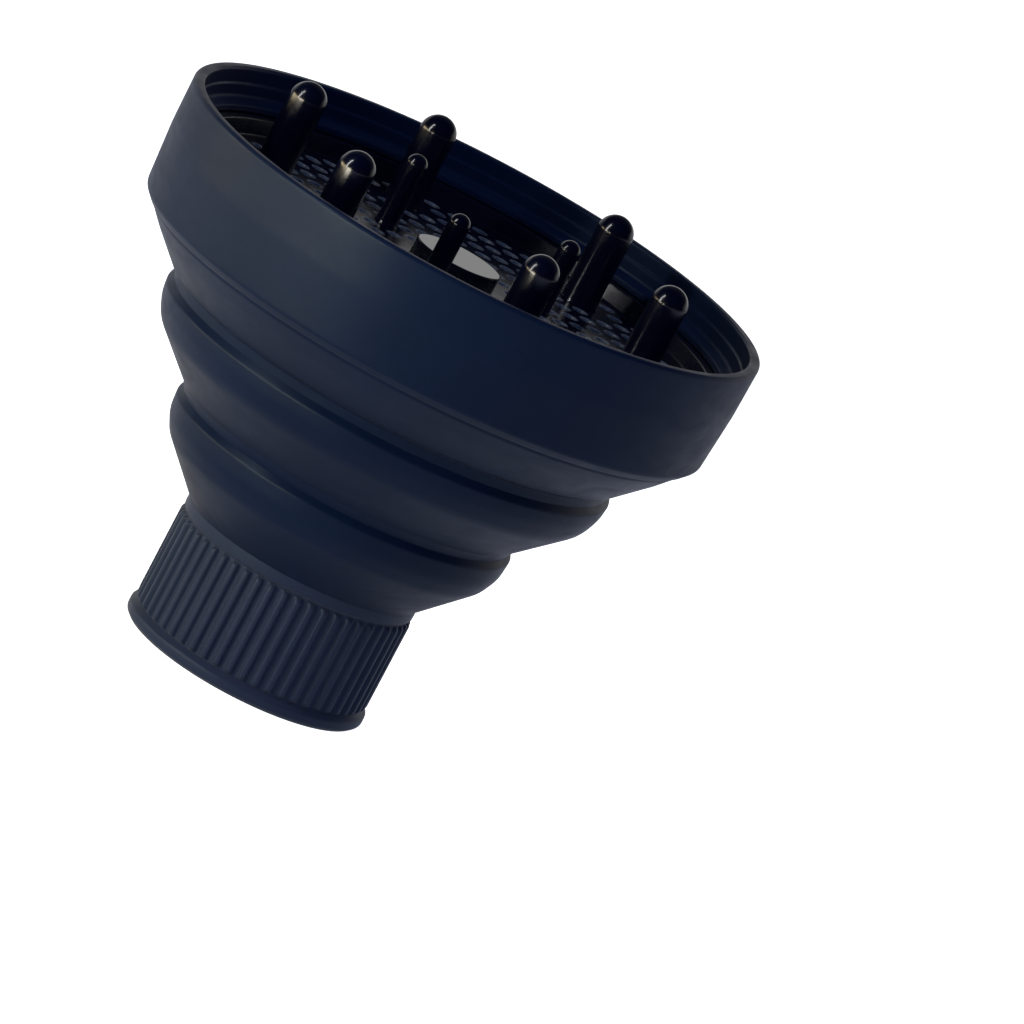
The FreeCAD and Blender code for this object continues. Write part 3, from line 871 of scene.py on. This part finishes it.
def make_floor():
    """Plain white floor at the height of the socket's end."""
    mesh = bmesh.new()
    bmesh.ops.create_grid(mesh, x_segments=8, y_segments=8, size=FLOOR_HALF_SIZE)
    floor = finish_piece("studio_floor", mesh)
    white = (1.0, 1.0, 1.0, 1.0)
    look = Shader("floor_white", roughness=0.85, Emission_Color=white, Specular_IOR_Level=0.0)
    darker, lighter = [(grey, grey, grey) for grey in FLOOR_GREYS]
    look.drive("Base Color", look.colours(look.noise(3.0), [(0.3, darker), (0.7, lighter)]))
    glow = camera_or_object(look.nodes, look.links, FLOOR_SEEN)
    glow.inputs["A"].default_value = FLOOR_ON_OBJECT
    look.drive("Emission Strength", glow.outputs["Result"])
    floor.data.materials.append(look.material)


def smooth_range(nodes, source, result):
    """Map Range node that eases from one range into another."""
    node = nodes.new("ShaderNodeMapRange")
    node.interpolation_type = "SMOOTHSTEP"
    node.inputs["From Min"].default_value, node.inputs["From Max"].default_value = source
    node.inputs["To Min"].default_value, node.inputs["To Max"].default_value = result
    return node


def make_world():
    """White for the camera; what lights the object is a low backdrop behind it."""
    world = bpy.data.worlds.new("studio")
    world.use_nodes = True
    bpy.context.scene.world = world
    nodes = world.node_tree.nodes
    links = world.node_tree.links
    background = nodes["Background"]
    background.inputs["Color"].default_value = (1.0, 1.0, 1.0, 1.0)
    direction = nodes.new("ShaderNodeTexCoord").outputs["Generated"]
    split = nodes.new("ShaderNodeSeparateXYZ")
    links.new(direction, split.inputs["Vector"])
    behind = smooth_range(nodes, BACKDROP_FADE_IN, (0.0, BACKDROP_ON_OBJECT))
    links.new(split.outputs["Y"], behind.inputs["Value"])
    above = smooth_range(nodes, BACKDROP_FADE_OUT, (1.0, BACKDROP_ABOVE))
    links.new(split.outputs["Z"], above.inputs["Value"])
    level = nodes.new("ShaderNodeMath")
    level.operation = "MULTIPLY"
    links.new(behind.outputs["Result"], level.inputs[0])
    links.new(above.outputs["Result"], level.inputs[1])
    strength = camera_or_object(nodes, links, BACKDROP_SEEN)
    links.new(level.outputs["Value"], strength.inputs["A"])
    links.new(strength.outputs["Result"], background.inputs["Strength"])


def towards(azimuth, elevation):
    """Unit vector from the object to a light or the camera. Azimuth 0 is on the -Y side."""
    a, e = math.radians(azimuth), math.radians(elevation)
    return Vector((math.sin(a) * math.cos(e), -math.cos(a) * math.cos(e), math.sin(e)))


def soft_light(name, height, azimuth, elevation, distance, size, power,
               colour=(1.0, 1.0, 1.0), mirrored=True):
    """Area light that faces the axis at a height, in metres, degrees and watts.

    A light that isn't mirrored leaves no highlight.
    """
    data = bpy.data.lights.new(name, "AREA")
    data.shape = "RECTANGLE"
    data.size, data.size_y = size
    data.energy = power
    data.color = colour
    away = towards(azimuth, elevation)
    light = bpy.data.objects.new(name, data)
    light.location = Vector((0, 0, height)) + away * distance
    light.rotation_mode = "QUATERNION"
    light.rotation_quaternion = away.to_track_quat("Z", "Y")
    light.visible_camera = False
    light.visible_glossy = mirrored
    bpy.context.scene.collection.objects.link(light)


# heights on the axis that the lights face, in metres
MIDDLE_AIM = 0.06
LOW_AIM = 0.042
SENSOR_WIDTH = 36.0
CLIP_RANGE = (0.05, 60.0)


def make_camera(azimuth, elevation, roll, distance, lens, aim_right, aim_up):
    """Camera rolled about its line of sight and aimed beside the object's middle, in metres."""
    back = towards(azimuth, elevation)
    turn = back.to_track_quat("Z", "Y") @ Quaternion((0, 0, 1), math.radians(roll))
    data = bpy.data.cameras.new("camera")
    data.lens = lens
    data.sensor_width = SENSOR_WIDTH
    data.clip_start, data.clip_end = CLIP_RANGE
    camera = bpy.data.objects.new("camera", data)
    camera.rotation_mode = "QUATERNION"
    right = turn @ Vector((1, 0, 0))
    up = turn @ Vector((0, 1, 0))
    middle = Vector((0, 0, RIM_TOP / 2 * MM))
    camera.location = middle + right * aim_right + up * aim_up + back * distance
    camera.rotation_quaternion = turn
    bpy.context.scene.collection.objects.link(camera)
    bpy.context.scene.camera = camera


make_floor()
make_world()
soft_light("low_left", height=LOW_AIM, azimuth=-57, elevation=1, distance=0.60,
           size=(1.1, 0.16), power=3.6, colour=(1.0, 0.83, 0.50))
soft_light("low_front_left", height=LOW_AIM, azimuth=-30, elevation=0, distance=0.70,
           size=(0.30, 0.16), power=1.7, colour=(1.0, 0.98, 0.90))
soft_light("strip_left", height=MIDDLE_AIM, azimuth=-51, elevation=24, distance=0.8,
           size=(0.06, 0.66), power=2.8)
soft_light("cool_fill", height=MIDDLE_AIM, azimuth=35, elevation=50, distance=1.4,
           size=(1.0, 1.0), power=8.0, colour=(0.34, 0.50, 1.0), mirrored=False)
soft_light("top_behind", height=MIDDLE_AIM, azimuth=180, elevation=66, distance=1.4,
           size=(1.6, 1.2), power=3.0, mirrored=False)
make_camera(azimuth=7.01, elevation=12.99, roll=28.10, distance=2.009, lens=319.2,
            aim_right=0.03355, aim_up=-0.0152)
bpy.context.scene.view_settings.view_transform = "Standard"
